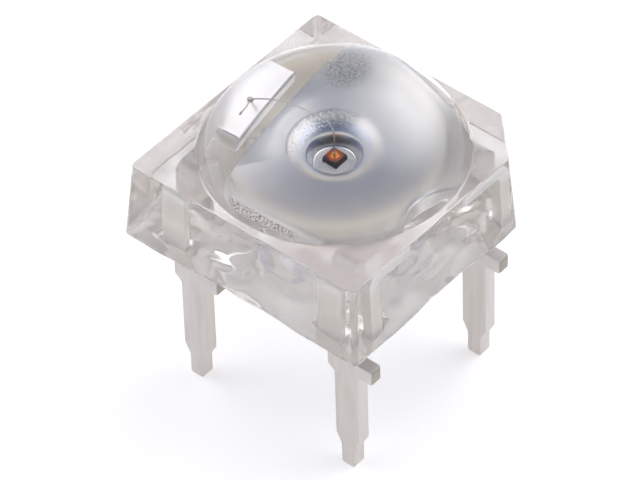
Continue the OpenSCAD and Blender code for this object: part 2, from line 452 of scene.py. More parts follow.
def underside(s, f, x, y):
    """Height of the resin's free surface below, with its climb round the leads."""
    inner = s.hollow**2 - min(x * x + y * y, 1.6 * s.hollow_rim**2)
    rise = math.sqrt(inner) - math.sqrt(s.hollow**2 - s.hollow_rim**2)
    blur = 0.012 * MM
    rise = 0.5 * (rise + math.sqrt(rise * rise + blur * blur))
    dx = max(abs(abs(x) - f.pitch / 2) - f.lead / 2, 0.0)
    dy = max(abs(abs(y) - f.pitch / 2) - f.sheet / 2, 0.0)
    away = math.hypot(dx, dy)
    coarse = noise.noise(Vector((x, y, 2.0 * s.lump)) / s.lump)
    small = noise.noise(Vector((x, y, 3.0 * s.lump)) * (2.2 / s.lump))
    rise += s.lump_rise * (coarse + 0.5 * small)
    return BODY_LOW.z + rise - s.climb * math.exp(-away / s.climb_reach)


def underside_normal(s, f, x, y):
    """Direction out of that surface."""
    h = 0.004 * MM
    slope_x = (underside(s, f, x + h, y) - underside(s, f, x - h, y)) / (2 * h)
    slope_y = (underside(s, f, x, y + h) - underside(s, f, x, y - h)) / (2 * h)
    return Vector((slope_x, slope_y, -1.0)).normalized()


def body_rings(s, f):
    """Rings of points and normals from the middle of the underside to the dome's crown."""
    under = BODY_LOW.z
    top = under + s.wall
    draft = math.atan((s.width - s.top_width) / 2 / s.wall)
    cos_d = math.cos(draft)
    sin_d = math.sin(draft)

    def base(height):
        part = (height - under) / s.wall
        half = (s.width + (s.top_width - s.width) * part) / 2
        cut = s.cut + (s.top_cut - s.cut) * part
        inset = s.edge * cos_d
        shrink = inset * (2 - math.sqrt(2))
        return body_outline(half - inset, cut - shrink, s.corner - inset, SIDE_STEPS, CORNER_STEPS)

    low, ways = base(under + s.edge + s.edge * sin_d)
    high, ways = base(top - s.edge + s.edge * sin_d)
    rings = []
    steps = [0.04 * k for k in range(1, 11)] + [0.4 + 0.0105 * k for k in range(1, 48)]
    steps += [0.9 + 0.02 * k for k in range(1, 5)]
    for step in steps:
        flat = [p * step for p in low]
        points = [Vector((p.x, p.y, underside(s, f, p.x, p.y))) for p in flat]
        rings.append((points, [underside_normal(s, f, p.x, p.y) for p in flat]))
    feet = [Vector((p.x, p.y, underside(s, f, p.x, p.y))) for p in low]
    tilts = [-underside_normal(s, f, p.x, p.y).to_2d().dot(way) for p, way in zip(low, ways)]
    for k in range(EDGE_STEPS + 1):
        points = []
        normals = []
        for foot, way, tilt in zip(feet, ways, tilts):
            first = -math.pi / 2 - math.asin(tilt)
            a = first + (draft - first) * k / EDGE_STEPS
            points.append(foot + Vector((*(way * math.cos(a)), 1 + math.sin(a))) * s.edge)
            normals.append(Vector((*(way * math.cos(a)), math.sin(a))))
        rings.append((points, normals))
    last = rings[-1][0]
    brow = [Vector((*p, top - s.edge)) for p in high]
    wall = [Vector((*(way * cos_d), sin_d)) for way in ways]
    above = [p + n * s.edge for p, n in zip(brow, wall)]
    for k in range(1, WALL_STEPS):
        rings.append(([a.lerp(b, k / WALL_STEPS) for a, b in zip(last, above)], wall))
    for k in range(EDGE_STEPS + 1):
        a = draft + (math.pi / 2 - draft) * k / EDGE_STEPS
        normals = [Vector((*(way * math.cos(a)), math.sin(a))) for way in ways]
        rings.append(([p + n * s.edge for p, n in zip(brow, normals)], normals))
    centre = BODY_HIGH.z - s.dome
    foot_z = top + s.foot
    foot_r = math.sqrt((s.dome + s.foot) ** 2 - (foot_z - centre) ** 2)
    spokes = spread_spokes(high, SPOKE_REACH)
    ledge = [Vector((*(way * foot_r), top)) for way in spokes]
    lip = rings[-1][0]
    upward = [Vector((0, 0, 1))] * len(lip)
    for k in range(1, 5):
        rings.append(([a.lerp(b, k / 4) for a, b in zip(lip, ledge)], upward))
    end = -math.pi + math.atan2(foot_z - centre, foot_r)
    for bow in arc(1.0, -math.pi / 2, end, 8)[1:]:
        ring = [Vector((*(way * (foot_r + bow.x * s.foot)), foot_z + bow.y * s.foot)) for way in spokes]
        rings.append((ring, [Vector((*(way * -bow.x), -bow.y)) for way in spokes]))
    for bow in arc(1.0, end + math.pi, math.pi / 2, LENS_STEPS)[1:-1]:
        normals = [Vector((*(way * bow.x), bow.y)) for way in spokes]
        rings.append(([n * s.dome + Vector((0, 0, centre)) for n in normals], normals))
    return rings


def resin_finish(s):
    """Clear cast resin: polished lens, wavy walls, mould marks that veil the walls with painted light on
    the minus Y wall, and painted shade on the top face.
    """
    made = Recipe(bpy.data.materials.new("clear_resin"))
    under = BODY_LOW.z / MM
    top = under + s.wall / MM
    dome = made.z.between(top + 0.02, top + 0.2)
    square = abs(made.x).most(abs(made.y))
    below = (1 - made.z.between(under + 0.42, under + 0.5)) * (1 - square.between(3.6, 3.7))
    wave = made.noise(0.55, 0.0)
    ripple = made.noise(1.3, 0.0, offset=(3.0, 7.0, 1.0))
    dimple = made.noise(2.7, 0.0, offset=(1.0, 4.0, 9.0))
    flow = made.noise(1.1, 3.0, stretch=(1.0, 1.0, 0.25))
    haze = made.noise(4.5, 4.0)
    relief = (wave + ripple * 0.55 + dimple * 0.34) * (1 - dome * 0.95)
    rough = 0.006 + (1 - dome) * (0.03 + haze.between(0.55, 0.8) * 0.04) + below * 0.06
    colour = made.mix(flow.between(0.35, 0.7), s.clear, shade(s.clear, 0.97))
    # Thin marks on the walls, and extra veil on the minus Y wall as painted light that lightens that wall
    painted_light_minus_y = (0 - made.y).between(3.45, 3.6) * 0.07
    marks = s.wall_marks + painted_light_minus_y + flow.between(0.3, 0.75) * 0.12
    marks = marks * (1 - made.z.between(top + 0.02, top + 0.5)) * (1 - below)
    # Patchy veil on the top face in a darker colour, strongest at its front corner: painted shade that
    # darkens the top face
    flat = made.z.between(top - 0.03, top - 0.006) * (1 - made.z.between(top + 0.01, top + 0.06))
    front = made.along((0.66, -0.75)).between(2.4, 4.2)
    patchy = 0.72 + ripple.between(0.35, 0.65) * 0.56
    marks = marks + flat * patchy * (s.top_painted_shade + front * 0.34)
    sockets = {
        "Base Color": colour,
        "Roughness": rough,
        "IOR": s.ior,
        "Transmission Weight": 1.0,
        "Normal": made.bump(relief, s.wave_depth),
    }
    # The veil turns darker on the top face: painted shade.
    veil = {
        "Base Color": made.mix(flat, s.veil, shade(s.veil, 0.76, 0.72, 0.68)),
        "Roughness": 0.5,
        "Specular IOR Level": 0.3,
    }
    return made.surface(sockets, {"Color": solid(s.depth), "Density": s.density}, (marks, veil))


class LED_OT_clear_body(bpy.types.Operator):
    """Cast the clear body with its lens, cut corner and sunk underside"""

    bl_idname = "clear_led.clear_body"
    bl_label = "Clear Body"

    def execute(self, context):
        settings = context.scene.clear_led
        rings = body_rings(settings.resin, settings.frames)
        points, faces = loft([points for points, normals in rings])
        normals = [n for points, normals in rings for n in normals]
        normals += [Vector((0, 0, -1)), Vector((0, 0, 1))]
        points[-2].z = underside(settings.resin, settings.frames, 0.0, 0.0)
        points[-1].z = BODY_HIGH.z
        piece = new_piece("clear_body", points, faces, resin_finish(settings.resin), normals)
        seat(piece, "epoxy_body")
        return {"FINISHED"}


# Lead frames
class Plate:
    """A bent sheet: pairs of points on its two faces, closed by walls round every free edge."""

    def __init__(self):
        self.outer = []
        self.inner = []
        self.cells = []

    def pair(self, outer, inner):
        self.outer.append(Vector(outer))
        self.inner.append(Vector(inner))
        return len(self.outer) - 1

    def rows(self, first, second):
        """Cells between two rows of pairs."""
        for k in range(len(first) - 1):
            self.cells.append((first[k], first[k + 1], second[k + 1], second[k]))

    def solid(self):
        """A bmesh of the closed sheet."""
        made = bmesh.new()
        outer = [made.verts.new(p) for p in self.outer]
        inner = [made.verts.new(p) for p in self.inner]
        used = {}
        for cell in self.cells:
            made.faces.new([outer[i] for i in cell])
            made.faces.new([inner[i] for i in reversed(cell)])
            for a, b in zip(cell, (*cell[1:], cell[0])):
                used.setdefault(frozenset((a, b)), []).append((a, b))
        for edges in used.values():
            if len(edges) == 1:
                a, b = edges[0]
                made.faces.new((outer[b], outer[a], inner[a], inner[b]))
        bmesh.ops.recalc_face_normals(made, faces=made.faces)
        return made


def add_lead(plate, f, roots, side, middle):
    """Bends a lead down from a row of root pairs on the deck and ends it in its tip."""
    bend_z = f.deck - f.sheet - f.bend
    xs = [plate.outer[i].x for i in roots]
    row = roots
    for k in range(1, 9):
        a = math.pi / 2 * k / 8
        rise = math.cos(a)
        out = math.sin(a)
        outer = f.bend + f.sheet
        below = []
        for x in xs:
            far = (x, side * (f.bend_y + outer * out), bend_z + outer * rise)
            near = (x, side * (f.bend_y + f.bend * out), bend_z + f.bend * rise)
            below.append(plate.pair(far, near))
        plate.rows(row, below)
        row = below
    w = f.lead / 2
    t = f.tip / 2
    high = f.tip_end + f.taper
    outline = [
        (-w, f.bar_top),
        (-w - f.stub_short, f.bar_top),
        (-w - f.stub_short, f.bar_low),
        (-w, f.bar_low - f.stub_slope),
        (-w, high),
        (-t, f.tip_end),
        (-t, f.tip_cut),
        (-t + f.tip_cut, 0.0),
        (t - f.tip_cut, 0.0),
        (t, f.tip_cut),
        (t, f.tip_end),
        (w, high),
        (w, f.bar_low),
        (w + f.stub_long, f.bar_low),
        (w + f.stub_long, f.bar_top),
        (w, f.bar_top),
    ]
    far_y = side * (f.bend_y + f.bend + f.sheet)
    near_y = side * (f.bend_y + f.bend)
    ids = [plate.pair((middle + x, far_y, z), (middle + x, near_y, z)) for x, z in outline]
    if plate.outer[row[0]].x < plate.outer[row[-1]].x:
        row = row[::-1]
    # The lead is split into plain quads so that its broad faces stay flat
    plate.cells.append([*row, ids[0], ids[15]])
    quads = [(0, 1, 2, 3), (15, 0, 3, 12), (14, 15, 12, 13), (12, 3, 4, 11)]
    quads += [(11, 4, 5, 10), (10, 5, 6, 9), (9, 6, 7, 8)]
    for quad in quads:
        plate.cells.append([ids[i] for i in quad])


def cup_profile(f):
    """Pairs of points on the cup frame's upper and lower faces, from the axis out to the flat plate."""
    slope = f.cup_slope
    hub = Vector((f.lip, f.deck - f.lip_roll))
    roll = [hub + p for p in arc(f.lip_roll, math.pi / 2 + f.lip_turn, math.pi / 2, 16)]
    floor_r = roll[0].x - (roll[0].y - f.cup_floor) * math.tan(slope)
    fillet = 0.05 * MM
    reach = fillet * math.tan((math.pi / 2 - slope) / 2)
    middle = Vector((floor_r - reach, f.cup_floor + fillet))
    nook = [middle + p for p in arc(fillet, -math.pi / 2, -slope, 6)]
    upper = [Vector((floor_r * k / 5, f.cup_floor)) for k in range(1, 5)]
    upper += nook
    upper += [nook[-1].lerp(roll[0], k / 4) for k in range(1, 4)]
    upper += roll
    under = f.cup_floor - f.cup_base
    track = [Vector((0.0, under)), Vector((f.cup_foot, under)), Vector((f.lip, f.deck - f.sheet))]
    half = len(upper) // 2
    lower = [track[0].lerp(track[1], (k + 1) / half) for k in range(half)]
    rest = len(upper) - half
    lower += [track[1].lerp(track[2], (k + 1) / rest) for k in range(rest)]
    pairs = list(zip(upper, lower))
    for r in (f.lip + 0.08 * MM, f.lip + 0.2 * MM):
        pairs.append((Vector((r, f.deck)), Vector((r, f.deck - f.sheet))))
    return pairs


def plate_reach(f, angle, inset):
    """Distance from the axis to the cup plate's outline, drawn in by inset, in one direction."""
    c = math.cos(angle)
    s = math.sin(angle)
    step = math.atan2(f.bend_y, f.pitch / 2 - f.lead / 2 - f.relief)
    wide = f.half if abs(angle) > step + 1e-6 else f.bend_y
    limits = [(wide - inset) / max(abs(s), 1e-9)]
    if c > 1e-9:
        limits.append((f.outer_x - inset) / c)
        off = (f.notch + inset) ** 2 - (f.notch_x * s) ** 2
        if off > 0:
            limits.append(f.notch_x * c - math.sqrt(off))
    else:
        limits.append((f.half - f.edge_x - f.edge_cut - inset * math.sqrt(2)) / (abs(c) + abs(s)))
    return min(limits)


def cup_solid(f):
    """The cup frame: drawn cup in a flat plate with a notch, two leads, cut along the chord."""
    corner = math.atan2(f.bend_y, f.outer_x)
    root = math.atan2(f.bend_y, f.pitch / 2 - f.lead / 2)
    notch = math.asin(f.notch / f.notch_x) - math.radians(0.25)
    relief_x = f.pitch / 2 - f.lead / 2 - f.relief
    steps = [math.atan2(f.bend_y, relief_x), math.atan2(f.half, relief_x)]
    fixed = [corner, root, notch, corner * 0.4 + root * 0.6, corner * 0.7 + root * 0.3, *steps]
    fixed += [-a for a in fixed]
    plain = [math.radians(2.25 * k) for k in range(-80, 80)]
    plain = [a for a in plain if min(abs(a - b) for b in fixed) > math.radians(1.0)]
    angles = sorted(fixed + plain)
    plate = Plate()
    pole = plate.pair((0, 0, f.cup_floor), (0, 0, f.cup_floor - f.cup_base))
    rings = []
    for upper, lower in cup_profile(f):
        ring = []
        for a in angles:
            c = math.cos(a)
            s = math.sin(a)
            high = (upper.x * c, upper.x * s, upper.y)
            low = (lower.x * c, lower.x * s, lower.y)
            ring.append(plate.pair(high, low))
        rings.append(ring)
    for k in range(-1, 6):
        bow = math.pi / 2 * max(k, 0) / 5
        inset = 1.4 if k < 0 else 1 - math.sin(bow)
        rim = []
        for a in angles:
            lead_root = corner - 1e-6 <= abs(a) <= root + 1e-6
            r = plate_reach(f, a, f.roll * inset)
            drop = 0.0 if lead_root else f.roll_drop * (1 - math.cos(bow))
            x = r * math.cos(a)
            y = r * math.sin(a)
            rim.append(plate.pair((x, y, f.deck - drop), (x, y, f.deck - f.sheet)))
        rings.append(rim)
    for k in range(len(angles)):
        n = (k + 1) % len(angles)
        plate.cells.append((pole, rings[0][k], rings[0][n]))
    for first, second in zip(rings, rings[1:]):
        plate.rows([*first, first[0]], [*second, second[0]])
    for side in (1, -1):
        span = [i for i, a in zip(rim, angles) if corner - 1e-6 <= a * side <= root + 1e-6]
        add_lead(plate, f, span, side, f.pitch / 2)
    made = plate.solid()
    geometry = [*made.verts, *made.edges, *made.faces]
    bmesh.ops.bisect_plane(
        made, geom=geometry, plane_co=(f.edge_x, 0, 0), plane_no=(-1, 0, 0), clear_outer=True, dist=1e-9
    )
    rim_edges = [e for e in made.edges if e.is_boundary]
    bmesh.ops.edgeloop_fill(made, edges=rim_edges)
    return made


def tab_pair(plate, f, x, y):
    """A pair of points on the bond pad, rounded down near its punched edges."""
    near = min(f.pad_in - x, max(f.pad_half - abs(y), 0.0))
    part = max(1 - near / f.pad_roll, 0.0)
    drop = 0.4 * f.pad_roll * (1 - math.sqrt(1 - part * part))
    return plate.pair((x, y, f.deck - drop), (x, y, f.deck - f.sheet))


def post_solid(f):
    """The post frame: a bar from lead to lead with the bond pad as a tab in its middle, and two leads."""
    plate = Plate()
    inner_x = f.lead / 2 - f.pitch / 2
    columns = [-f.outer_x, -f.pitch / 2, inner_x]
    marks = [0.0, f.pad_roll * 0.3, f.pad_roll * 0.65, f.pad_roll]
    ys = [f.pad_half * k / 4 for k in range(-3, 4)]
    ys += [side * (f.pad_half - m) for side in (1, -1) for m in marks]
    ys += [side * (f.pad_half + (f.bend_y - f.pad_half) * k / 3) for side in (1, -1) for k in (1, 2, 3)]
    rows = []
    for y in sorted(ys):
        row = [plate.pair((x, y, f.deck), (x, y, f.deck - f.sheet)) for x in columns]
        if abs(y) <= f.pad_half + 1e-9:
            for part in (0.4, 0.8):
                x = inner_x + (f.pad_in - inner_x) * part
                row.append(tab_pair(plate, f, x, y))
            for m in marks[::-1]:
                row.append(tab_pair(plate, f, f.pad_in - m, y))
        rows.append(row)
    for first, second in zip(rows, rows[1:]):
        count = min(len(first), len(second))
        plate.rows(first[:count], second[:count])
    add_lead(plate, f, rows[-1][:3], 1, -f.pitch / 2)
    add_lead(plate, f, rows[0][:3], -1, -f.pitch / 2)
    return plate.solid()


def round_edges(made, edges, radius, segments):
    """Rounds some edges of a bmesh."""
    bmesh.ops.bevel(
        made, geom=edges, offset=radius, offset_type="OFFSET", segments=segments, profile=0.5,
        affect="EDGES", clamp_overlap=True,
    )


def stamp(made, f, name, material):
    """Rounds the bar stubs, then the sheet's other sharp edges, as stamping does, and makes it a piece."""
    ends = []
    for middle in (-f.pitch / 2, f.pitch / 2):
        ends += [middle + f.lead / 2 + f.stub_long, middle - f.lead / 2 - f.stub_short]
    stubs = []
    for edge in made.edges:
        low = all(v.co.z < f.bar_top + 1e-6 for v in edge.verts)
        if low and any(all(abs(v.co.x - end) < 1e-6 for v in edge.verts) for end in ends):
            stubs.append(edge)
    round_edges(made, stubs, f.stub_round, 4)
    folds = [e for e in made.edges if len(e.link_faces) == 2]
    round_edges(made, [e for e in folds if e.calc_face_angle() > SHARP], f.round, 2)
    bmesh.ops.remove_doubles(made, verts=made.verts, dist=WELD)
    bmesh.ops.recalc_face_normals(made, faces=made.faces)
    piece = new_piece(name, [], [], material)
    made.to_mesh(piece.data)
    made.free()
    piece.data.shade_smooth()
    keep_flat(piece)
    return piece


def stub_ends(made, f):
    """1 on the sheared ends of the tie-bar stubs."""
    side = made.x - made.x.sign() * (f.pitch / 2 / MM)
    ends = []
    for way, stub in ((side, f.stub_long), (0 - side, f.stub_short)):
        end = (f.lead / 2 + stub) / MM
        ends.append(way.between(end - 0.05, end - 0.015))
    return ends[0].most(ends[1])


def cup_marks(made, f, inside, colour, metal, rough, relief):
    """Adds what drawing, shearing and gluing leave on the cup frame, with painted shade behind the lip and
    a painted reflection at the mouth.
    """
    half = f.half / MM
    level = f.deck / MM
    pits = made.cells(13.0)
    specks = made.noise(21.0, 2.0)
    away = made.along((-0.66, 0.75))
    across = made.along((0.75, 0.66))
    # Rough back of the rolled lip and a rough spot behind it, both painted dark as painted shade, with the
    # silver round the spot painted a little darker
    ring = made.radius.inside(0.6, 0.84, 0.08) * inside
    off = ((made.x + 0.98) * (made.x + 0.98) + (made.y - 1.45) * (made.y - 1.45) * 0.6) ** 0.5
    scar_and_painted_shade = ring * (away - abs(across) * 0.8).between(0.2, 0.5) * 0.8
    scar_and_painted_shade = scar_and_painted_shade.most((1 - off.between(0.18, 0.5)) * inside)
    lip = ring * (1 - across.between(0.05, 0.4)) * away.between(-0.45, 0.0)
    lip = lip.most(scar_and_painted_shade * 0.7)
    # Round the spot the silver is painted a little darker: painted shade.
    painted_shade_round_scar = (1 - off.between(0.3, 1.2)) * inside
    # Sheared edges of the plate
    sheared = abs(made.y).between(half - 0.02, half - 0.008) * (1 - made.x.between(0.5, 1.2))
    sheared = sheared * (1 - made.z.between(level - 0.09, level - 0.06)) * inside
    # Cup from its soft right lip over the mouth, painted bluish as a painted reflection, and the bright
    # wall to the film on its floor
    soft = made.radius.inside(0.56, 0.95, 0.08) * across.between(0.05, 0.4) * inside
    mouth = made.radius.inside(0.52, 0.66, 0.08) * inside
    bright = made.radius.inside(0.36, 0.5, 0.06) * inside
    film = (1 - made.radius.between(0.34, 0.385)) * inside
    colour = made.mix(mouth, colour, f.painted_blue_reflection)
    colour = made.mix(painted_shade_round_scar, colour, shade(f.silver, 0.82))
    colour = made.mix(film, colour, f.film)
    colour = made.mix(sheared * specks.between(0.46, 0.62), colour, shade(f.cut_metal, 0.85, 0.78, 0.78))
    # The back of the lip and the spot are painted dark: painted shade on a rough surface.
    colour = made.mix(scar_and_painted_shade * (0.3 + specks.between(0.4, 0.62) * 0.4), colour, shade(f.silver, 0.3))
    metal = metal - film * 0.65
    rough = rough + soft * 0.05 + film * 0.1 - bright * 0.18 - sheared * 0.2
    relief = relief + lip * specks * 6.0 + sheared * (1 - pits) * 16.0
    return colour, metal, rough, relief


def plating_finish(name, f, cup):
    """Silver plating inside the resin, pale on its underside, and matt tin outside."""
    made = Recipe(bpy.data.materials.new(name))
    under = BODY_LOW.z / MM
    level = f.deck / MM
    bottom = level - f.sheet / MM
    bend = f.bend_y / MM
    inside = made.z.between(under - 0.05, under + 0.15)
    grain = made.noise(9.0, 3.0, stretch=(1.0, 0.08, 1.0))
    fine = made.noise(38.0, 2.0)
    mottle = made.noise(2.2, 3.0)
    wear = made.noise(1.3, 4.0, offset=(5.0, 2.0, 0.0))
    streak = made.noise(1.6, 3.0, stretch=(2.2, 2.2, 0.3))
    cut = stub_ends(made, f) * (1 - inside)
    upright = (1 - made.z.between(level - 0.8, level - 0.45)) * abs(made.y).between(bend, bend + 0.1)
    back = (1 - made.z.between(bottom + 0.02, bottom + 0.06)) * made.radius.between(0.45, 0.55)
    back = back * (1 - upright) * inside * (0.2 + wear.between(0.4, 0.58) * 0.8)
    silver = made.mix(mottle, f.silver, shade(f.silver, 0.93))
    silver = made.mix(back, silver, f.film)
    silver = made.mix(upright, silver, f.dull_silver)
    tin = made.mix(streak.between(0.4, 0.75), f.tin, shade(f.tin, 0.92, 0.9, 0.86))
    colour = made.mix(inside, tin, silver)
    colour = made.mix(cut, colour, f.cut_metal)
    metal = 0.15 + inside * 0.85 - back * 0.6
    rough = inside * (0.37 + mottle * 0.06 + upright * 0.12) + (1 - inside) * (0.5 + wear * 0.16)
    rough = rough + cut * 0.1
    relief = grain * 0.3 + fine * 0.1 + cut * grain
    if cup:
        colour, metal, rough, relief = cup_marks(made, f, inside, colour, metal, rough, relief)
    else:
        rough = rough - inside * 0.045
    sockets = {
        "Base Color": colour,
        "Metallic": metal,
        "Roughness": rough,
        "Normal": made.bump(relief, f.grain_depth),
    }
    return made.surface(sockets)


class LED_OT_cup_frame(bpy.types.Operator):
    """Stamp, draw and bend the frame with the reflector cup"""

    bl_idname = "clear_led.cup_frame"
    bl_label = "Cup Frame"

    def execute(self, context):
        f = context.scene.clear_led.frames
        piece = stamp(cup_solid(f), f, "cup_frame_stamped", plating_finish("plated_frame", f, True))
        seat(piece, "cup_frame")
        return {"FINISHED"}


class LED_OT_post_frame(bpy.types.Operator):
    """Stamp and bend the frame with the bond pad"""

    bl_idname = "clear_led.post_frame"
    bl_label = "Post Frame"

    def execute(self, context):
        f = context.scene.clear_led.frames
        piece = stamp(post_solid(f), f, "post_frame_stamped", plating_finish("plated_post", f, False))
        seat(piece, "post_frame")
        return {"FINISHED"}


# Chip and adhesive
def square_ring(half, corner, height):
    """A square with rounded corners at one height."""
    ring = []
    for quarter in range(4):
        start = math.pi / 2 * quarter
        middle = Vector((math.cos(start + math.pi / 4), math.sin(start + math.pi / 4))) * (half - corner)
        middle *= math.sqrt(2)
        ring += [Vector((*(middle + p), height)) for p in arc(corner, start, start + math.pi / 2, 10)]
    return ring


def chip_rings(d):
    """Rings of the chip from its sawn foot over the mesa to the raised contact."""
    half = (CHIP_HIGH.x - CHIP_LOW.x) / 2
    low = CHIP_LOW.z
    high = CHIP_HIGH.z
    tall = high - low
    thin = 0.004 * MM
    corner = 0.008 * MM
    rings = [
        square_ring(half * 0.5, corner, low),
        square_ring(half - 0.003 * MM, corner, low),
        square_ring(half, corner, low + 0.004 * MM),
        square_ring(half, corner, low + tall * 0.3),
        square_ring(half - 0.002 * MM, corner, low + tall * 0.6),
        square_ring(half - d.mesa * 0.4, corner, low + tall * 0.8),
        square_ring(half - d.mesa, corner, high - 0.012 * MM),
        square_ring(half - d.mesa - 0.006 * MM, corner, high - thin),
    ]
    edge = rings[-1]
    for radius, height in ((d.pad * 1.06, high - thin), (d.pad, high - thin * 0.2), (d.pad * 0.94, high)):
        ring = [Vector((*(p.to_2d().normalized() * radius), height)) for p in edge]
        rings.append(ring)
    return rings


def chip_finish(d):
    """Red crystal with a gold contact on top and dark sawn sides."""
    made = Recipe(bpy.data.materials.new("chip_crystal"))
    saw = made.noise(60.0, 2.0, stretch=(0.15, 0.15, 1.0))
    cloud = made.noise(14.0, 3.0)
    level = CHIP_HIGH.z / MM
    top = made.z.between(level - 0.03, level - 0.014)
    contact = (1 - made.radius.between(d.pad / MM * 0.97, d.pad / MM * 1.03)) * top
    sides = made.mix(saw.between(0.3, 0.7), d.sawn, shade(d.sawn, 0.55))
    face = made.mix(cloud, d.crystal, shade(d.crystal, 1.0, 1.7, 1.4))
    face = made.mix(made.radius.between(0.085, 0.18), face, shade(d.crystal, 0.13, 0.45, 1.4))
    colour = made.mix(top, sides, face)
    colour = made.mix(contact, colour, d.contact)
    sockets = {
        "Base Color": colour,
        "Metallic": contact,
        "Roughness": 0.42 - top * 0.17 + cloud * 0.08,
        "Specular IOR Level": 0.5,
        "Normal": made.bump(saw * (1 - top) + cloud * 0.3, d.saw_depth),
    }
    return made.surface(sockets)


def paste_rings():
    """Rings of the adhesive spot: uneven rim, low dome and a fillet up the chip's sides."""
    low = GLUE_LOW.z
    tall = GLUE_HIGH.z - low
    radius = (GLUE_HIGH.x - GLUE_LOW.x) / 2
    half = (CHIP_HIGH.x - CHIP_LOW.x) / 2
    count = 96
    rims = []
    for k in range(count):
        a = 2 * math.pi * k / count
        way = Vector((math.cos(a), math.sin(a)))
        rims.append(way * radius * (0.97 + 0.07 * noise.noise(Vector((way.x * 2.2, way.y * 2.2, 4.0)))))
    rings = [[Vector((*(p * part), low)) for p in rims] for part in (0.3, 0.9, 0.985)]
    for part, lift in ((1.0, 0.25), (0.99, 0.5), (0.96, 0.75), (0.9, 0.93)):
        rings.append([Vector((*(p * part), low + tall * lift)) for p in rims])
    for part in (0.84, 0.78, 0.72, 0.66, 0.62, 0.58, 0.54, 0.5, 0.3):
        ring = []
        for p in rims:
            spot = p * part
            away = max(abs(spot.x), abs(spot.y)) - half
            climb = 0.045 * MM * math.exp(-max(away, 0.0) / (0.022 * MM))
            if away < -0.01 * MM:
                climb = 0.0
            ring.append(Vector((*spot, low + tall * 0.985 + climb)))
        rings.append(ring)
    return rings


def paste_finish(d):
    """Silver-filled adhesive, dull and finely flaked."""
    made = Recipe(bpy.data.materials.new("die_paste"))
    flakes = made.cells(90.0)
    cloud = made.noise(20.0, 3.0)
    colour = made.mix(cloud, d.paste, shade(d.paste, 0.9))
    sockets = {
        "Base Color": colour,
        "Metallic": flakes.between(0.2, 0.6) * 0.12,
        "Roughness": 0.36 + cloud * 0.2,
        "Normal": made.bump(flakes + cloud, d.flake_depth),
    }
    return made.surface(sockets)


class LED_OT_chip(bpy.types.Operator):
    """Set the chip and its adhesive in the cup"""

    bl_idname = "clear_led.chip"
    bl_label = "Chip and Adhesive"

    def execute(self, context):
        d = context.scene.clear_led.die
        points, faces = loft(chip_rings(d))
        chip = new_piece("chip_crystal", points, faces, chip_finish(d))
        keep_flat(chip)
        seat(chip, "led_chip")
        points, faces = loft(paste_rings())
        paste = new_piece("die_paste", points, faces, paste_finish(d))
        seat(paste, "die_attach")
        return {"FINISHED"}


# Bond wire
def tube_rings(path, radii):
    """Rings round a path, kept upright to the path's own plane."""
    rings = []
    sides = 14
    across = (path[1] - path[0]).normalized().orthogonal()
    for k, spot in enumerate(path):
        along = path[min(k + 1, len(path) - 1)] - path[max(k - 1, 0)]
        along.normalize()
        across = (across - along * across.dot(along)).normalized()
        other = along.cross(across)
        ring = []
        for n in range(sides):
            a = 2 * math.pi * n / sides
            ring.append(spot + (across * math.cos(a) + other * math.sin(a)) * radii[k])
        rings.append(ring)
    return rings


def wire_parts(d, f):
    """Ball with its neck and loop, the flattened stitch and the tail, as points and faces."""
    swing = Matrix.Rotation(d.swing, 3, "Z")
    chip_top = CHIP_HIGH.z
    thin = d.wire / 2
    rise = chip_top + d.rise
    crown = rise + d.loop
    drop = crown - f.deck - thin
    span = d.reach - d.loop
    big = (span * span + drop * drop) / (2 * drop)
    sweep = math.asin(span / big)
    path = []
    radii = []
    ball = ((0.0, 0.78), (0.006, 0.9), (0.02, 1.0), (0.04, 0.97), (0.056, 0.8), (0.066, 0.5))
    for height, radius in ball:
        path.append(Vector((0, 0, chip_top + height * MM)))
        radii.append(radius * d.ball)
    for k in range(6):
        path.append(Vector((0, 0, chip_top + 0.085 * MM + (d.rise - 0.085 * MM) * k / 5)))
        radii.append(thin)
    for p in arc(d.loop, 0.0, math.pi / 2, 12)[1:]:
        path.append(Vector((p.x - d.loop, 0, rise + p.y)))
        radii.append(thin)
    for p in arc(big, math.pi / 2, math.pi / 2 + sweep, 28)[1:]:
        path.append(Vector((p.x - d.loop, 0, crown - big + p.y)))
        radii.append(thin)
    parts = [tube_rings(path, radii)]
    stitch = Vector((-d.reach, 0, f.deck))
    flat = []
    for radius, height in ((0.05, 0.0), (0.06, 0.006), (0.06, 0.018), (0.048, 0.032), (0.026, 0.04)):
        ring = []
        for k in range(20):
            a = 2 * math.pi * k / 20
            way = Vector((math.cos(a) * 1.15, math.sin(a) * 0.9, 0)) * radius * MM
            ring.append(stitch + way + Vector((0, 0, height * MM)))
        flat.append(ring)
    parts.append(flat)
    tail = []
    tail_radii = []
    for k in range(15):
        t = k / 14
        bow = 0.02 * MM * math.sin(math.pi * t)
        tail.append(stitch + Vector((bow, -d.tail * t, thin * (0.75 + 0.35 * math.sin(math.pi * t)))))
        swell = max(t - 0.8, 0.0) / 0.2
        tail_radii.append(thin * (1.0 + 1.1 * math.sin(swell * math.pi * 0.85)))
    parts.append(tube_rings(tail, tail_radii))
    points = []
    faces = []
    for rings in parts:
        spots, cells = loft(rings)
        faces += [tuple(i + len(points) for i in cell) for cell in cells]
        points += [swing @ p for p in spots]
    return points, faces


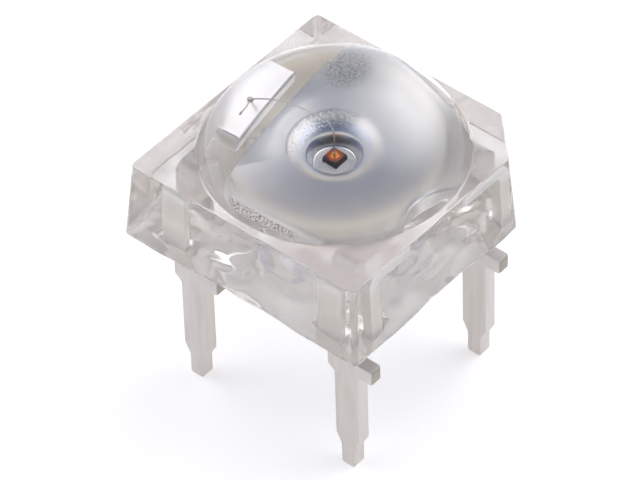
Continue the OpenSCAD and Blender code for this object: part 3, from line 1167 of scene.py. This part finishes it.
def gold_finish(d):
    """Drawn gold wire, dull in patches, with its ball painted orange as painted light from the chip below
    it.
    """
    made = Recipe(bpy.data.materials.new("gold_wire"))
    draw = made.noise(40.0, 2.0)
    dull = made.noise(12.0, 2.0)
    colour = made.mix(draw, d.gold, shade(d.gold, 0.8))
    level = CHIP_HIGH.z / MM
    # The ball is painted orange: painted light from the chip below it.
    colour = made.mix(made.z.between(level + 0.06, level + 0.1), d.painted_ball_light, colour)
    sockets = {
        "Base Color": colour,
        "Metallic": 1.0,
        "Roughness": 0.2 + dull * 0.2,
        "Normal": made.bump(draw, d.draw_depth),
    }
    return made.surface(sockets)


class LED_OT_bond_wire(bpy.types.Operator):
    """Bond the wire from the chip to the pad"""

    bl_idname = "clear_led.bond_wire"
    bl_label = "Bond Wire"

    def execute(self, context):
        settings = context.scene.clear_led
        points, faces = wire_parts(settings.die, settings.frames)
        piece = new_piece("bond_wire_drawn", points, faces, gold_finish(settings.die))
        seat(piece, "bond_wire")
        return {"FINISHED"}


# Stage
def heading(azimuth, elevation):
    """Direction from the part to a place seen at these angles."""
    flat = math.cos(elevation)
    return Vector((math.sin(azimuth) * flat, -math.cos(azimuth) * flat, math.sin(elevation)))


def floor_finish(s):
    """Pale matt paper that glows, its glow dimmed below the part as a painted shadow."""
    made = Recipe(bpy.data.materials.new("studio_paper"))
    fibre = made.noise(0.8, 4.0)
    colour = made.mix(fibre, s.floor, shade(s.floor, 0.985))
    # The glow fades to the darker colour below the part: a painted shadow.
    glow = made.mix(made.radius.between(1.5, 6.0), s.painted_floor_shadow, colour)
    sockets = {
        "Base Color": colour,
        "Roughness": 0.85 + fibre * 0.1,
        "Specular IOR Level": 0.2,
        "Emission Color": glow,
        "Emission Strength": s.floor_glow,
        "Normal": made.bump(fibre, s.fibre_depth),
    }
    return made.surface(sockets)


def room_light(s):
    """A room with pale walls, bluish grey overhead, and two soft lights behind the part."""
    made = Recipe(bpy.data.worlds.new("studio_room"), "Generated", 1.0)
    colour = made.mix(made.z.between(0.08, 0.5), s.wall_light, s.room)
    right = (heading(s.right_turn, s.right_rise), s.right_edge, s.right_light)
    left = (heading(s.left_turn, s.left_rise), s.left_edge, s.left_light)
    for way, edge, light in (right, left):
        glow = made.along(way).between(math.cos(edge), math.cos(s.glow_core))
        colour = made.mix(glow, colour, light)
    light = made.node("ShaderNodeBackground", None, {"Color": colour, "Strength": s.strength})
    made.node("ShaderNodeOutputWorld", None, {"Surface": light}, output=None)
    return made.owner


class LED_OT_stage(bpy.types.Operator):
    """Set the floor, the soft light and the camera"""

    bl_idname = "clear_led.stage"
    bl_label = "Stage"

    def execute(self, context):
        scene = context.scene
        s = scene.clear_led.stage
        rings = []
        for radius in (0.02, 0.05, 0.12, 0.3, 0.8, 2.0):
            rings.append([Vector((*p, 0.0)) for p in arc(radius, 0.0, 2 * math.pi * 95 / 96, 95)])
        points, faces = loft(rings, close_last=False)
        floor = new_piece("studio_floor", points, faces, floor_finish(s))
        scene.world = room_light(s)
        back = heading(s.azimuth, s.elevation)
        right = Vector((math.cos(s.azimuth), math.sin(s.azimuth), 0.0))
        up = back.cross(right)
        spot = Vector((0, 0, BODY_LOW.z)) + back * s.distance + right * s.right + up * s.up
        c = math.cos(s.roll)
        r = math.sin(s.roll)
        axes = Matrix((right * c + up * r, up * c - right * r, back)).transposed()
        data = bpy.data.cameras.new("photo_camera")
        data.lens = s.lens
        data.sensor_width = 36.0
        data.clip_start = 0.01
        data.clip_end = 10.0
        camera = bpy.data.objects.new("photo_camera", data)
        camera.matrix_world = Matrix.Translation(spot) @ axes.to_4x4()
        scene.collection.objects.link(camera)
        scene.camera = camera
        scene.view_settings.view_transform = "Standard"
        scene.cycles.max_bounces = 24
        scene.cycles.glossy_bounces = 16
        scene.cycles.transmission_bounces = 20
        return {"FINISHED"}


class LED_PT_panel(bpy.types.Panel):
    """Lists the pieces and their settings"""

    bl_label = "Clear LED"
    bl_idname = "LED_PT_panel"
    bl_space_type = "VIEW_3D"
    bl_region_type = "UI"
    bl_category = "Clear LED"

    def draw(self, context):
        layout = self.layout
        for operator in OPERATORS:
            layout.operator(operator.bl_idname)
        settings = context.scene.clear_led
        for group in (settings.resin, settings.frames, settings.die, settings.stage):
            box = layout.box()
            for name in group.__annotations__:
                box.prop(group, name)


GROUPS = (ResinSettings, FrameSettings, DieSettings, StageSettings, LedSettings)
OPERATORS = (
    LED_OT_clear_body,
    LED_OT_cup_frame,
    LED_OT_post_frame,
    LED_OT_chip,
    LED_OT_bond_wire,
    LED_OT_stage,
)


def register():
    for kind in (*GROUPS, *OPERATORS, LED_PT_panel):
        bpy.utils.register_class(kind)
    bpy.types.Scene.clear_led = PointerProperty(type=LedSettings)


def unregister():
    del bpy.types.Scene.clear_led
    for kind in reversed((*GROUPS, *OPERATORS, LED_PT_panel)):
        bpy.utils.unregister_class(kind)


def main():
    register()
    bpy.ops.clear_led.clear_body()
    bpy.ops.clear_led.cup_frame()
    bpy.ops.clear_led.post_frame()
    bpy.ops.clear_led.chip()
    bpy.ops.clear_led.bond_wire()
    bpy.ops.clear_led.stage()


if __name__ == "__main__":
    main()
